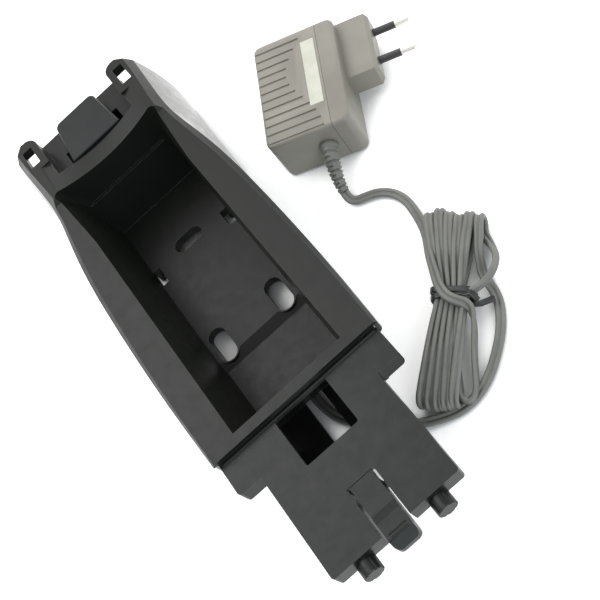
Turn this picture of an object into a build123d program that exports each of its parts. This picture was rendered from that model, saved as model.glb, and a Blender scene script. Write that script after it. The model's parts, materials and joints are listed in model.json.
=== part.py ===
from build123d import *
import math
import os

# Wall charging dock for a cordless appliance, lying on its back, with its plug-in
# mains adapter on a flat twin lead that is tied in a hank. Millimetres.
# X is the width, +Y runs from the latch tongue to the hook ears, +Z is out of the wall.

# ---- driving dimensions ---------------------------------------------------
wall = 2.2                 # housing wall
deck = 2.4                 # thickness of flange, ledge and tongue plates
seam = 0.15                # gap between two mouldings that meet
running = 0.06             # radial clearance of a pin in its bore

tray_length = 170.0        # rim opening, along Y
tray_mouth_half = 30.0     # half the rim opening's width
tray_floor_half = 25.0     # half the floor's width
floor_gap = 5.4            # space between the wall plane and the floor's underside
floor_step = 3.0           # the fixing floor stands this much above the lower floor
low_floor_length = 42.0    # length of the lower floor, up to the step
end_wall_slope = 17.5      # how far the lower end wall leans in, rim to floor
band_width = 11.5          # saddle band between tray and recess
ear_length = 33.0          # ears, past the saddle band
recess_half = 25.2         # half the recess between the ears
flange_top = 58.2          # flange above the wall plane, beside the saddle band
flange_fall = 4.2          # how much lower the flange is at the tray's lower end
ear_top = 61.0             # saddle ends and ears above the wall plane
ear_cut = 4.0              # chamfer of each ear's outer corner, seen from above
ear_round = 6.0            # radius of each ear's inner corner
ledge_top = 50.4           # recess floor above the wall plane
tongue_top = 50.0          # tongue plate above the wall plane
rim_width = 3.0            # rim at the tray's lower end
lower_half = 45.0          # half widths of the flange, from the lower end to the ears
belly_half = 46.3
waist_half = 38.6
ear_half = 40.7
side_bulge = 7.2           # how far the side walls swell past the flange at the ears
skirt = 14.0               # side wall's height at the lower end

shoulder_half = 43.1       # tongue plate
shoulder_length = 19.5
tongue_half = 31.4
tongue_length = 72.0       # ridge to the tongue's end
tongue_skirt = 9.0
window_half = 13.7
window_start = 4.3
window_length = 25.2
latch_half = 5.7           # finger between its two slits
slit = 1.2
latch_root = 48.3          # distance from the ridge to the finger's root
latch_reach = 8.0          # past the tongue's end
latch_head = 16.5
latch_top = 51.3
peg_radius = 4.5
peg_length = 6.6
flutes = 6
flute_radius = 0.5
peg_spacing = 36.6
peg_height = 43.6

head_length = 29.0         # contact head, from its root to its tip
head_root_half = 15.8
head_tip_half = 12.8
head_top = 57.6
head_plate = 3.0
pivot_radius = 1.5
pivot_height = 45.6

lead_width = 4.8           # flat twin mains lead
lead_thickness = 2.4

# ---- places worked out from the sizes above --------------------------------
ear_end = tray_length + band_width + ear_length
latch_tip = -(tongue_length + latch_reach)
ridge = -(ear_end + latch_tip) / 2          # the ridge line's Y, so that Y = 0 is mid-length
low_floor = floor_gap + wall
fixing_floor = low_floor + floor_step
band_start = ridge + tray_length
recess_start = band_start + band_width
end_y = ridge + ear_end
flange_low_y = ridge - rim_width
flange_high_y = band_start - 4.5
step_y = ridge + end_wall_slope + low_floor_length

pieces = []


def finish(part, name):
    """Label a finished piece, and write its STEP file."""
    os.makedirs("parts", exist_ok=True)
    part.label = name
    export_step(part, f"parts/{name}.step")
    pieces.append(name)


def flange_height(y):
    """The flange's top at one Y: it climbs from the tray's lower end to the saddle band."""
    share = (y - flange_low_y) / (flange_high_y - flange_low_y)
    return flange_top - flange_fall * (1 - min(max(share, 0), 1))


def half_outline(bulge, inset):
    """Right-hand edge points of the housing, from the ridge to the ears, with the slope
    of the flange's edge at each."""
    corner = 0.414 * inset
    return [
        (lower_half - inset, flange_low_y + inset, 0.5),
        (belly_half - inset, ridge + 0.27 * tray_length, 0.8),
        (belly_half - 0.5 - inset, ridge + 0.53 * tray_length, 1.0),
        (waist_half + 3.9 - inset + 0.35 * bulge, ridge + 0.80 * tray_length, 1.1),
        (waist_half - inset + bulge, band_start - 2, 0.8),
        (waist_half + 0.6 - inset + bulge, recess_start + 4, 0.65),
        (ear_half - inset + 0.95 * bulge, end_y - ear_cut - corner, 0.65),
    ]


def housing_section(height, bulge=0.0, inset=0.0, sloped=False):
    """The housing's outline at one height: two splined sides, and ends with cut ears.

    A sloped outline draws in with height, from the flange's underside.
    """
    right = []
    for x, y, slope in half_outline(bulge, inset):
        rise = height - flange_height(y) + deck
        right.append((x - slope * rise if sloped else x, y))
    last_x = right[-1][0]
    end = (last_x - ear_cut + 0.6 * inset, end_y - inset)
    left = [(-x, y) for x, y in reversed(right)]
    with BuildSketch(Plane.XY.offset(height)) as section:
        with BuildLine():
            Spline(*right)
            Line(right[-1], end)
            Line(end, (-end[0], end[1]))
            Line((-end[0], end[1]), left[0])
            Spline(*left)
            Line(left[-1], right[0])
        make_face()
    return section.sketch


def housing_profile(lift, top):
    """The region of the YZ plane between the lifted line of the flange and ears, and a level."""
    with BuildSketch(Plane.YZ.offset(-60)) as region:
        Polygon(
            (flange_low_y - 10, flange_height(flange_low_y) + lift),
            (flange_low_y, flange_height(flange_low_y) + lift),
            (flange_high_y, flange_top + lift),
            (flange_high_y + 3, ear_top + lift),
            (end_y + 5, ear_top + lift),
            (end_y + 5, top),
            (flange_low_y - 10, top),
            align=None,
        )
    return region.sketch


def slab(height, x0, x1, y0, y1):
    """A rectangle between two X and two Y values, at one height."""
    with BuildSketch(Plane.XY.offset(height)) as section:
        with Locations(((x0 + x1) / 2, (y0 + y1) / 2)):
            Rectangle(x1 - x0, y1 - y0)
    return section.sketch


def block(x0, x1, y0, y1, z0, z1):
    """A plain block between pairs of limits."""
    return extrude(slab(z0, x0, x1, y0, y1), amount=z1 - z0, mode=Mode.PRIVATE)


def side_block(side, near, far, y0, y1, z0, z1):
    """A block on one side of the middle: near and far count from X = 0."""
    x0, x1 = sorted((near * side, far * side))
    return block(x0, x1, y0, y1, z0, z1)


def disc(origin, normal, radius):
    """A round section across a path."""
    with BuildSketch(Plane(origin=origin, z_dir=normal)) as section:
        Circle(radius)
    return section.sketch


def tray_section(height, inset):
    """The tray's inside at one height, grown by an inset."""
    share = (height - low_floor) / (flange_top - low_floor)
    half = tray_floor_half + (tray_mouth_half - tray_floor_half) * share + inset
    low = ridge + 0.6 + end_wall_slope * (1 - share) - inset
    high = band_start - 3.0 * (1 - share) + inset
    return slab(height, -half, half, low, high)


def flare_section(height, inset, root_half, end_half):
    """The wider upper part of the tray, beside the end wall, with two round corners."""
    start = ridge + 122
    end = band_start + 0.6
    with BuildSketch(Plane.XY.offset(height)) as section:
        Polygon(
            (-root_half - inset, start - inset),
            (root_half + inset, start - inset),
            (end_half + inset, end + inset),
            (-end_half - inset, end + inset),
            align=None,
        )
        fillet(section.vertices().group_by(Axis.Y)[-1], 3.5 + inset)
    return section.sketch


flare_floor = 39.0
saddle_half = 31.0
saddle_sag = 5.2
saddle_radius = (saddle_half**2 + saddle_sag**2) / (2 * saddle_sag)
opening_half = 17.8        # opening in the ledge for the contact head
opening_start = recess_start + 1.6
opening_end = recess_start + 17.0
pivot_y = recess_start + 6.5
bracket_inner = opening_half + 0.4
bracket = 2.6
ear_window = (28.9, 34.7, recess_start + 14.3, recess_start + 27.2)
top_slot_y = ridge + 133.5
lower_hole_y = ridge + 69.5
lower_hole_spacing = 36.4
screw_places = [(x, ridge + y) for x in (-36.5, 36.5) for y in (26, 96)]
boss_foot = 46.0
pilot = 1.25               # hole that a screw cuts its thread in
screw_clear = 1.7          # hole that a screw passes through
web_half = 24.0            # web that carries on from the tray's floor, under the tongue
web_end = ridge - 40.0
web_slot_half = 4.9
lug_x = 29.0
lug_y = ridge - 11.5
lug_top = 36.0

# ---- front housing: tray, flange, ears and recess ---------------------------
deck_low = flange_top - flange_fall - deck - 2
with BuildPart() as deck_plate:
    loft([
        housing_section(deck_low, sloped=True),
        housing_section(ear_top + 1, sloped=True),
    ])
    # cut to the line of the flange and ears above, and to a flat-bottomed plate below
    extrude(housing_profile(0, ear_top + 10), amount=120, mode=Mode.SUBTRACT)
    with BuildSketch(Plane.YZ.offset(-60)):
        Polygon(
            (flange_low_y - 10, flange_height(flange_low_y) - deck),
            (flange_low_y, flange_height(flange_low_y) - deck),
            (flange_high_y, flange_top - deck),
            (end_y + 5, flange_top - deck),
            (end_y + 5, deck_low - 5),
            (flange_low_y - 10, deck_low - 5),
            align=None,
        )
    extrude(amount=120, mode=Mode.SUBTRACT)

with BuildPart() as front_housing:
    add(deck_plate.part)
    loft([tray_section(floor_gap, wall), tray_section(flange_top - 0.5, wall)])
    loft([
        flare_section(flare_floor, wall, 26, 26),
        flare_section(flange_top - 0.5, wall, 30, 34.2),
    ])
    # saddle band and recess box
    add(block(-36.0, 36.0, band_start - 1, recess_start + 1, ledge_top - deck, flange_top))
    add(block(-recess_half - wall, recess_half + wall, recess_start - wall, end_y,
              ledge_top - deck, flange_top))
    # brackets for the contact head's pivot, below the ledge
    for side in (-1, 1):
        add(side_block(side, bracket_inner, bracket_inner + bracket, pivot_y - 4, pivot_y + 4,
                       pivot_height - 4, ledge_top - deck + 0.5))
    # screw bosses for the rear shell
    with Locations(*[(x, y, boss_foot) for x, y in screw_places]):
        Cylinder(3.2, flange_top - 1 - boss_foot, align=(Align.CENTER, Align.CENTER, Align.MIN))
    # two rails that stand on the wall plane
    for side in (-1, 1):
        add(side_block(side, tray_floor_half - 1.6, tray_floor_half + 0.4,
                       ridge + end_wall_slope, band_start - 4, 0, floor_gap + 0.5))
    # nothing stands above the flange
    extrude(housing_profile(0, ear_top + 10), amount=120, mode=Mode.SUBTRACT)
    # hollow of the tray, its flare and the recess
    loft([tray_section(low_floor, 0), tray_section(flange_top + 0.01, 0)], mode=Mode.SUBTRACT)
    loft([
        flare_section(flare_floor, 0, 26, 26),
        flare_section(ear_top + 0.5, 0, 30, 34.5),
    ], mode=Mode.SUBTRACT)
    add(block(-recess_half, recess_half, recess_start, end_y + 1, ledge_top, ear_top + 1),
        mode=Mode.SUBTRACT)
    # the saddle: a shallow round dip across the band
    with Locations(Location((0, band_start + 5, ear_top - saddle_sag + saddle_radius),
                            (90, 0, 0))):
        Cylinder(saddle_radius, 2 * band_width + 10, mode=Mode.SUBTRACT)
    # fixing floor: raised, with a sloped step down to the lower floor
    with BuildSketch(Plane.YZ.offset(-tray_floor_half - 0.8)):
        Polygon(
            (step_y - 2.5, low_floor - 0.5),
            (step_y - 2.5, low_floor),
            (step_y + 2.5, fixing_floor),
            (band_start - 1.5, fixing_floor),
            (band_start - 1.5, low_floor - 0.5),
            align=None,
        )
    extrude(amount=2 * tray_floor_half + 1.6)
    # collars of the two lower fixing holes, cut by the step
    with Locations(*[(x, lower_hole_y - 4.6, low_floor - 0.5)
                     for x in (-lower_hole_spacing / 2, lower_hole_spacing / 2)]):
        Cylinder(6.3, floor_step + 0.5, align=(Align.CENTER, Align.CENTER, Align.MIN))
    # wall fixing slots: one crosswise at the top, two lengthwise below
    with BuildSketch(Plane.XY.offset(floor_gap - 1)):
        with Locations((0, top_slot_y)):
            SlotOverall(17, 8.6)
        with Locations((-lower_hole_spacing / 2, lower_hole_y),
                       (lower_hole_spacing / 2, lower_hole_y)):
            SlotOverall(20.4, 9.8, rotation=90)
    extrude(amount=floor_step + wall + 2, mode=Mode.SUBTRACT)
    # drain holes at the floor's edges
    for side in (-1, 1):
        add(side_block(side, 21.0, 25.6, ridge + 121.5, ridge + 132.5, -1, fixing_floor + 1),
            mode=Mode.SUBTRACT)
    # windows through the ears
    for side in (-1, 1):
        add(side_block(side, *ear_window, ledge_top - deck - 1, ear_top + 1),
            mode=Mode.SUBTRACT)
        # round inner corner of the ear
        with BuildSketch(Plane.XY.offset(ledge_top)):
            with Locations(((recess_half + ear_round / 2) * side, end_y - ear_round / 2)):
                Rectangle(ear_round, ear_round)
            with Locations(((recess_half + ear_round) * side, end_y - ear_round)):
                Circle(ear_round, mode=Mode.SUBTRACT)
        extrude(amount=ear_top - ledge_top + 1, mode=Mode.SUBTRACT)
    # opening for the contact head
    add(block(-opening_half, opening_half, opening_start, opening_end,
              ledge_top - deck - 1, ledge_top + 1), mode=Mode.SUBTRACT)
    # bore for the pivot pin, and pilot holes in the bosses
    with Locations(Location((0, pivot_y, pivot_height), (0, 90, 0))):
        Cylinder(pivot_radius, 2 * (bracket_inner + bracket) + 4, mode=Mode.SUBTRACT)
    with Locations(*[(x, y, boss_foot - 1) for x, y in screw_places]):
        Cylinder(pilot, 8, align=(Align.CENTER, Align.CENTER, Align.MIN), mode=Mode.SUBTRACT)
    # web under the tongue, with its slot, two ribs and two lugs for the tongue's screws
    add(block(-web_half, web_half, web_end, ridge + end_wall_slope - 1, floor_gap, low_floor))
    for side in (-1, 1):
        add(side_block(side, web_half - 2, web_half, web_end, ridge + 1, low_floor - 0.5,
                       tongue_top - deck - seam))
        add(side_block(side, web_half - 1, lug_x + 4, lug_y - 4.5, lug_y + 4.5,
                       lug_top - deck, lug_top))
    add(block(-web_slot_half, web_slot_half, web_end + 3, ridge + end_wall_slope + 0.2,
              floor_gap - 1, low_floor + 0.5), mode=Mode.SUBTRACT)
    with Locations((-lug_x, lug_y, lug_top - 4), (lug_x, lug_y, lug_top - 4)):
        Cylinder(screw_clear, 6, align=(Align.CENTER, Align.CENTER, Align.MIN),
                 mode=Mode.SUBTRACT)
finish(front_housing.part, "front_housing")


# ---- rear shell: side walls, compartment walls and screw lugs ----------------
shell_top = flange_top - deck - seam
rib_half = recess_half + 1.4
cover_screw_x = rib_half - 3.2
levels = [(0.0, 0.92), (18.0, 1.0), (36.0, 0.72), (48.0, 0.32), (shell_top, 0.0)]
with BuildPart() as rear_shell:
    loft([housing_section(z, side_bulge * share) for z, share in levels])
    corners = [
        edge for edge in rear_shell.edges()
        if abs(edge.center().Y - flange_low_y) < 0.3
        and abs(abs(edge.center().X) - lower_half) < 0.3
    ]
    fillet(corners, 2.5)
    loft([housing_section(z, side_bulge * share, wall) for z, share in levels],
         mode=Mode.SUBTRACT)
    # its top follows the underside of the flange
    extrude(housing_profile(-deck - seam, flange_top + 10), amount=120, mode=Mode.SUBTRACT)
    # open lower end, and the lower edge that climbs from the ears to the tongue
    add(block(-lower_half + wall, lower_half - wall, ridge - rim_width - 1, ridge + 6,
              -1, flange_top), mode=Mode.SUBTRACT)
    with BuildSketch(Plane.YZ.offset(-60)):
        Polygon(
            (ridge - 10, -1),
            (ridge - 10, tongue_top + 8.2 - skirt),
            (ridge + 0.30 * tray_length, tongue_top + 5.2 - skirt),
            (ridge + 0.66 * tray_length, 20),
            (ridge + 0.90 * tray_length, -1),
            align=None,
        )
    extrude(amount=120, mode=Mode.SUBTRACT)
    # ears stay open at their outer ends, and the middle stops below the ledge
    for side in (-1, 1):
        add(side_block(side, rib_half + 2.2, ear_half - wall, end_y - wall - 1, end_y + 1,
                       6, flange_top), mode=Mode.SUBTRACT)
    add(block(-rib_half - 2.2, rib_half + 2.2, end_y - wall - 1, end_y + 1,
              ledge_top - deck - seam, flange_top), mode=Mode.SUBTRACT)
    # compartment walls under the recess
    for side in (-1, 1):
        add(side_block(side, rib_half, rib_half + 2.0, band_start + 6, end_y - 0.5, 0,
                       ledge_top - deck - seam))
        boss_x = cover_screw_x * side
        with Locations((boss_x, end_y - 12, 2.2)):
            Cylinder(3.6, 10, align=(Align.CENTER, Align.CENTER, Align.MIN))
        with Locations((boss_x, end_y - 12, 1)):
            Cylinder(pilot, 9, align=(Align.CENTER, Align.CENTER, Align.MIN),
                     mode=Mode.SUBTRACT)
    # lugs under the front housing's bosses
    for x, y in screw_places:
        side = math.copysign(1, x)
        add(side_block(side, abs(x) - 3.6, lower_half - 1.2, y - 4.5, y + 4.5,
                       boss_foot - seam - deck, boss_foot - seam))
    with Locations(*[(x, y, boss_foot - seam - deck - 1) for x, y in screw_places]):
        Cylinder(screw_clear, deck + 2, align=(Align.CENTER, Align.CENTER, Align.MIN),
                 mode=Mode.SUBTRACT)
finish(rear_shell.part, "rear_shell")

# ---- tongue plate: shoulders, window, finger slot and plug pegs --------------


def tongue_section(height, inset, near):
    """The tongue plate's outline: two shoulders, then the narrower tongue."""
    top = ridge - near
    neck = ridge - shoulder_length + inset
    end = ridge - tongue_length + inset
    wide = shoulder_half - inset
    narrow = tongue_half - inset
    with BuildSketch(Plane.XY.offset(height)) as section:
        Polygon(
            (wide, top), (wide, neck), (narrow, neck), (narrow, end),
            (-narrow, end), (-narrow, neck), (-wide, neck), (-wide, top),
            align=None,
        )
    return section.sketch


riser = 1.4
plate_near = rim_width + seam
boss_far = tongue_top - deck
with BuildPart() as tongue_plate:
    extrude(tongue_section(tongue_top - tongue_skirt, 0, plate_near), amount=tongue_skirt)
    extrude(tongue_section(tongue_top - tongue_skirt - 1, 2.0, rim_width - 1),
            amount=tongue_skirt - deck + 1, mode=Mode.SUBTRACT)
    vertical = tongue_plate.edges().filter_by(Axis.Z)
    fillet(vertical.group_by(Axis.Y)[0], 1.5)
    shoulders = [edge for edge in vertical if abs(abs(edge.center().X) - shoulder_half) < 0.1
                 and abs(edge.center().Y - ridge + shoulder_length) < 0.1]
    fillet(shoulders, 2.0)
    # riser up to the flange, and the bead along its foot
    riser_half = lower_half - wall - seam
    add(block(-riser_half, riser_half, ridge - plate_near - 0.5, flange_low_y + riser,
              tongue_top - deck, tongue_top))
    add(block(-riser_half, riser_half, flange_low_y, flange_low_y + riser,
              tongue_top - deck, flange_height(flange_low_y) - deck - seam))
    with Locations(Location((0, flange_low_y - 0.8, tongue_top - 0.1), (0, 90, 0))):
        Cylinder(0.6, 2 * shoulder_half - 3)
    # window, with a raised lip
    window_mid = ridge - window_start - window_length / 2
    with BuildSketch(Plane.XY.offset(tongue_top - deck - 1)):
        with Locations((0, window_mid)):
            RectangleRounded(2 * window_half, window_length, 1.2)
    extrude(amount=deck + 3, mode=Mode.SUBTRACT)
    # slot for the latch finger
    add(block(-latch_half - slit, latch_half + slit, ridge - tongue_length - 1,
              ridge - latch_root, tongue_top - tongue_skirt - 1, tongue_top + 1),
        mode=Mode.SUBTRACT)
    # ribs along the finger's slits
    for side in (-1, 1):
        add(side_block(side, latch_half + slit, latch_half + slit + 1.6,
                       ridge - tongue_length + 1, ridge - latch_root - 1,
                       tongue_top - tongue_skirt + 0.5, tongue_top - deck + 0.3))
    # screw bosses
    for side in (-1, 1):
        with Locations((lug_x * side, lug_y, lug_top + seam)):
            Cylinder(3.2, boss_far + 0.5 - lug_top - seam,
                     align=(Align.CENTER, Align.CENTER, Align.MIN))
        with Locations((lug_x * side, lug_y, lug_top)):
            Cylinder(pilot, 9, align=(Align.CENTER, Align.CENTER, Align.MIN),
                     mode=Mode.SUBTRACT)
    # fluted plug pegs
    for side in (-1, 1):
        peg_x = side * peg_spacing / 2
        with BuildSketch(Plane.XZ.offset(-ridge + tongue_length)):
            with Locations((peg_x, peg_height)):
                Circle(peg_radius)
                with PolarLocations(peg_radius, flutes):
                    Circle(flute_radius, mode=Mode.SUBTRACT)
        extrude(amount=peg_length)
    tips = tongue_plate.faces().sort_by(Axis.Y)[0:2]
    chamfer(tips.edges(), 0.35)
finish(tongue_plate.part, "tongue_plate")

# ---- latch finger ------------------------------------------------------------
finger_root = ridge - latch_root - 0.3
head_start = ridge - tongue_length - latch_reach + latch_head
tip_y = ridge - tongue_length - latch_reach
with BuildPart() as latch_finger:
    add(block(-latch_half, latch_half, head_start - 1, finger_root,
              tongue_top - deck, tongue_top))
    for side in (-1, 1):
        add(side_block(side, latch_half - 1.4, latch_half, head_start - 9, finger_root - 4,
                       tongue_top - 7, tongue_top - deck + 0.3))
    with BuildSketch(Plane.YZ.offset(-latch_half)):
        Polygon(
            (head_start, tongue_top - deck),
            (head_start, tongue_top),
            (head_start - 4.0, latch_top),
            (tip_y + 4.0, latch_top),
            (tip_y, latch_top - 3.2),
            (tip_y, tongue_top - 5),
            (tip_y + 3.5, tongue_top - 7),
            (tip_y + 8, tongue_top - 7),
            (tip_y + 10.5, tongue_top - deck),
            align=None,
        )
    extrude(amount=2 * latch_half)
    corner = latch_finger.edges().filter_by(Axis.Z).group_by(Axis.Y)[0]
    fillet(corner, 2.6)
    # two thumb ribs across the head
    for step in (4.9, 6.6):
        with Locations(Location((0, tip_y + step, latch_top), (0, 90, 0))):
            Cylinder(0.35, 2 * latch_half - 3.0)
finish(latch_finger.part, "latch_finger")

# ---- contact head, its pivot, spring and blades --------------------------------
head_root_y = recess_start + 1.2
head_tip_y = head_root_y + head_length
with BuildPart() as contact_head:
    with BuildSketch(Plane.XY.offset(head_top - head_plate)):
        Polygon(
            (-head_root_half, head_root_y), (head_root_half, head_root_y),
            (head_tip_half, head_tip_y), (-head_tip_half, head_tip_y), align=None,
        )
    extrude(amount=head_plate)
    fillet(contact_head.edges().filter_by(Axis.Z).group_by(Axis.Y)[-1], 3.6)
    fillet(contact_head.faces().sort_by(Axis.Z)[-1].edges(), 0.8)
    add(block(-head_root_half + 0.6, head_root_half - 0.6, pivot_y - 3, pivot_y + 3,
              pivot_height, head_top - head_plate + 0.5))
    with Locations(Location((0, pivot_y, pivot_height), (0, 90, 0))):
        Cylinder(3.0, 2 * head_root_half - 1.2)
        Cylinder(pivot_radius + running, 2 * head_root_half + 2, mode=Mode.SUBTRACT)
finish(contact_head.part, "contact_head")

with BuildPart() as contact_pin:
    with Locations(Location((0, pivot_y, pivot_height), (0, 90, 0))):
        Cylinder(pivot_radius, 2 * (bracket_inner + bracket) + 1.0)
finish(contact_pin.part, "contact_pivot_pin")

spring_y = head_tip_y - 9.0
spring_gap = head_top - head_plate - ledge_top
with BuildPart() as contact_spring:
    with BuildLine():
        coil = Helix(pitch=(spring_gap - 0.9) / 4, height=spring_gap - 0.9, radius=2.2,
                     center=(0, spring_y, ledge_top + 0.45))
    with BuildSketch(Plane(origin=coil @ 0, z_dir=coil % 0)):
        Circle(0.3)
    sweep()
finish(contact_spring.part, "contact_spring")

with BuildPart() as contact_blades:
    for side in (-1, 1):
        add(side_block(side, 6.0, 9.0, pivot_y + 3.2, head_tip_y - 1.0,
                       head_top - head_plate - 0.5, head_top - head_plate))
        add(side_block(side, 6.0, 9.0, pivot_y + 3.0, pivot_y + 3.5,
                       pivot_height + 1.0, head_top - head_plate))
finish(contact_blades.part, "contact_blades")


# ---- wiring compartment ------------------------------------------------------
board_half = 19.4
board_start = band_start + 12.0
board_end = band_start + 36.0
board_under = 9.0
board_thickness = 1.6
post_x = 17.6
post_radius = 2.2
post_y = (board_start + 4.0, board_end - 4.0)
terminal_under = 2.8
terminal_x = 12.0
wire_x = 7.5
cover_under = 0.3
cover_seat = 1.5           # where the heads of the cover's screws sit

with BuildPart() as compartment_cover:
    add(block(-rib_half + seam, rib_half - seam, band_start + 4, end_y - wall - seam,
              cover_under, 2.2 - seam))
    # posts for the board
    with Locations(*[(side * post_x, y, 1.0) for side in (-1, 1) for y in post_y]):
        Cylinder(post_radius, board_under - 1.0, align=(Align.CENTER, Align.CENTER, Align.MIN))
    with Locations(*[(side * post_x, y, 3.5) for side in (-1, 1) for y in post_y]):
        Cylinder(1.0, board_under, align=(Align.CENTER, Align.CENTER, Align.MIN),
                 mode=Mode.SUBTRACT)
    # lead's way in
    add(block(terminal_x - 4, terminal_x + 4, band_start + 3, board_start + 8, 0, 3),
        mode=Mode.SUBTRACT)
    # holes for the cover's screws
    with Locations(*[(side * cover_screw_x, end_y - 12, 0) for side in (-1, 1)]):
        Cylinder(screw_clear, 3, align=(Align.CENTER, Align.CENTER, Align.MIN),
                 mode=Mode.SUBTRACT)
        Cylinder(2.6, cover_seat, align=(Align.CENTER, Align.CENTER, Align.MIN),
                 mode=Mode.SUBTRACT)
finish(compartment_cover.part, "compartment_cover")

with BuildPart() as terminal_board:
    add(block(-board_half, board_half, board_start, board_end, board_under,
              board_under + board_thickness))
    with Locations(*[(side * post_x, y, board_under - 1) for side in (-1, 1) for y in post_y]):
        Cylinder(1.2, 4, align=(Align.CENTER, Align.CENTER, Align.MIN), mode=Mode.SUBTRACT)
finish(terminal_board.part, "terminal_board")

with BuildPart() as board_terminals:
    add(block(terminal_x - 4, terminal_x + 4, board_start + 8, board_start + 16,
              terminal_under, board_under))
    for side in (-1, 1):
        wire = side * wire_x
        add(block(wire - 2, wire + 2, board_start + 17, board_start + 21,
                  board_under + board_thickness, board_under + board_thickness + 4))
finish(board_terminals.part, "board_terminals")

# brass tabs under the ledge that wipe on the head's blades, and their two wires
tab_tip = pivot_y + 3.8
tab_top = ledge_top - deck
with BuildPart() as contact_tabs:
    for side in (-1, 1):
        add(side_block(side, 6.2, 8.8, tab_tip, opening_end + 7, tab_top - 0.6, tab_top))
finish(contact_tabs.part, "contact_tabs")

wire_foot = board_under + board_thickness + 4
with BuildPart() as contact_wires:
    for side in (-1, 1):
        with BuildLine():
            FilletPolyline(
                (side * wire_x, board_start + 19, wire_foot),
                (side * wire_x, board_start + 19, 26),
                (side * wire_x, opening_end + 4, 34),
                (side * wire_x, opening_end + 4, tab_top - 0.6),
                radius=5,
            )
        with BuildSketch(Plane.XY.offset(wire_foot)):
            with Locations((side * wire_x, board_start + 19)):
                Circle(0.8)
        sweep()
finish(contact_wires.part, "contact_wires")

# ---- inner lead, from the gland to the terminals, along the floor's underside --
inner_middle = floor_gap - 0.1 - lead_thickness / 2
gland_nose = ridge + 20.0
gland_length = 24.0
inner_start = gland_nose + gland_length
inner_route = [
    (0, inner_start),
    (0, ridge + 82),
    (terminal_x, ridge + 112),
    (terminal_x, board_start + 8),
]
with BuildPart() as inner_lead:
    with BuildLine(Plane.XY.offset(inner_middle)):
        FilletPolyline(*inner_route, radius=30)
    with BuildSketch(Plane(origin=(0, inner_start, inner_middle), x_dir=(1, 0, 0),
                           z_dir=(0, 1, 0))):
        SlotOverall(lead_width, lead_thickness)
    sweep()
finish(inner_lead.part, "inner_lead")

gland_middle = lead_width / 2
with BuildPart() as cable_gland:
    loft([
        disc((0, gland_nose, gland_middle), (0, 1, 0), 2.5),
        disc((0, inner_start - 4, gland_middle + 0.15), (0, 1, 0), 2.5),
    ])
    add(block(-6, 6, inner_start - 5, inner_start, 0.3, floor_gap - 0.1))
finish(cable_gland.part, "cable_gland")

clip_places = [(0, ridge + 56), (terminal_x, ridge + 122), (terminal_x, ridge + 152)]
with BuildPart() as lead_clips:
    for x, y in clip_places:
        add(block(x - 5, x + 5, y - 3, y + 3, 1.4, floor_gap - 0.1))
    for x, y in clip_places:
        add(block(x - lead_width / 2 - 0.1, x + lead_width / 2 + 0.1, y - 4, y + 4,
                  inner_middle - lead_thickness / 2 - 0.1, floor_gap), mode=Mode.SUBTRACT)
finish(lead_clips.part, "lead_clips")

# ---- screws ------------------------------------------------------------------


def screws(places, name, shank=1.2, head=2.6, head_height=1.5):
    """One node of identical screws: each place is the head's seat and the way it points."""
    with BuildPart() as group:
        for x, y, seat, length in places:
            step = math.copysign(1, length)
            with BuildSketch(Plane.XY.offset(seat)):
                with Locations((x, y)):
                    Circle(shank)
            extrude(amount=length)
            with BuildSketch(Plane.XY.offset(seat)):
                with Locations((x, y)):
                    Circle(head)
            extrude(amount=-head_height * step)
            with BuildSketch(Plane.XY.offset(seat - head_height * step)):
                with Locations((x, y)):
                    Rectangle(3.0, 0.7)
                    Rectangle(0.7, 3.0)
            extrude(amount=0.9 * step, mode=Mode.SUBTRACT)
    finish(group.part, name)


screws([(x, y, boss_foot - seam - deck, 8.5) for x, y in screw_places], "housing_screws")
screws([(side * lug_x, lug_y, lug_top - deck, 8.5) for side in (-1, 1)], "tongue_screws")
screws([(side * cover_screw_x, end_y - 12, cover_seat, 8.0) for side in (-1, 1)],
       "cover_screws", head=2.4, head_height=1.2)
screws([(side * post_x, y, board_under + board_thickness, -5.5)
        for side in (-1, 1) for y in post_y], "board_screws", shank=0.98, head=2.0)

# ---- mains adapter -------------------------------------------------------------
adapter_angle = -27.5
adapter_place = (138.6, 139.3 + ridge, 14.5)     # between the pins' roots
case_half_height = 14.5
case_far = -63.3
case_joint = -28.0
face_far = -18.3
side_low = -48.0
side_high = 18.0
adapter_wall = 1.8
pin_radius = 2.0
pin_length = 19.0
pin_spacing = 18.6
sleeve_length = 10.5
adapter_plane = Plane(
    origin=adapter_place,
    x_dir=(math.cos(math.radians(adapter_angle)), math.sin(math.radians(adapter_angle)), 0),
    z_dir=(0, 0, 1),
)


def adapter_slab(u0, u1, v0, v1, w, corner=0.0):
    """A rectangle in the adapter's own plane: u towards the pins, v away from its lead."""
    with BuildSketch(adapter_plane.offset(w)) as section:
        with Locations(((u0 + u1) / 2, (v0 + v1) / 2)):
            if corner > 0:
                RectangleRounded(u1 - u0, v1 - v0, corner)
            else:
                Rectangle(u1 - u0, v1 - v0)
    return section.sketch


def adapter_box(u0, u1, v0, v1, w0, w1, corner=0.0):
    """A block in the adapter's own plane."""
    return extrude(adapter_slab(u0, u1, v0, v1, w0, corner), amount=w1 - w0,
                   mode=Mode.PRIVATE)


def adapter_point(u, v, w):
    """A point of the adapter's own frame, in the model's frame."""
    return adapter_plane.from_local_coords(Vector(u, v, w))


towards_pins = adapter_plane.x_dir
pin_axis = Axis((0, 0, 0), towards_pins)
plug_half_height = 7.0
plug_low = -18.5
plug_near = -1.5
label_u = (-37.0, -29.5)
label_v = (-32.5, 9.0)
label_depth = 0.2
groove_pitch = 5.3
groove_first = 12.0
groove_count = 12
groove_middle = -8.5
groove_deepest = -47.3
groove_sweep = 16.5
groove_spread = 22.0

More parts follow.
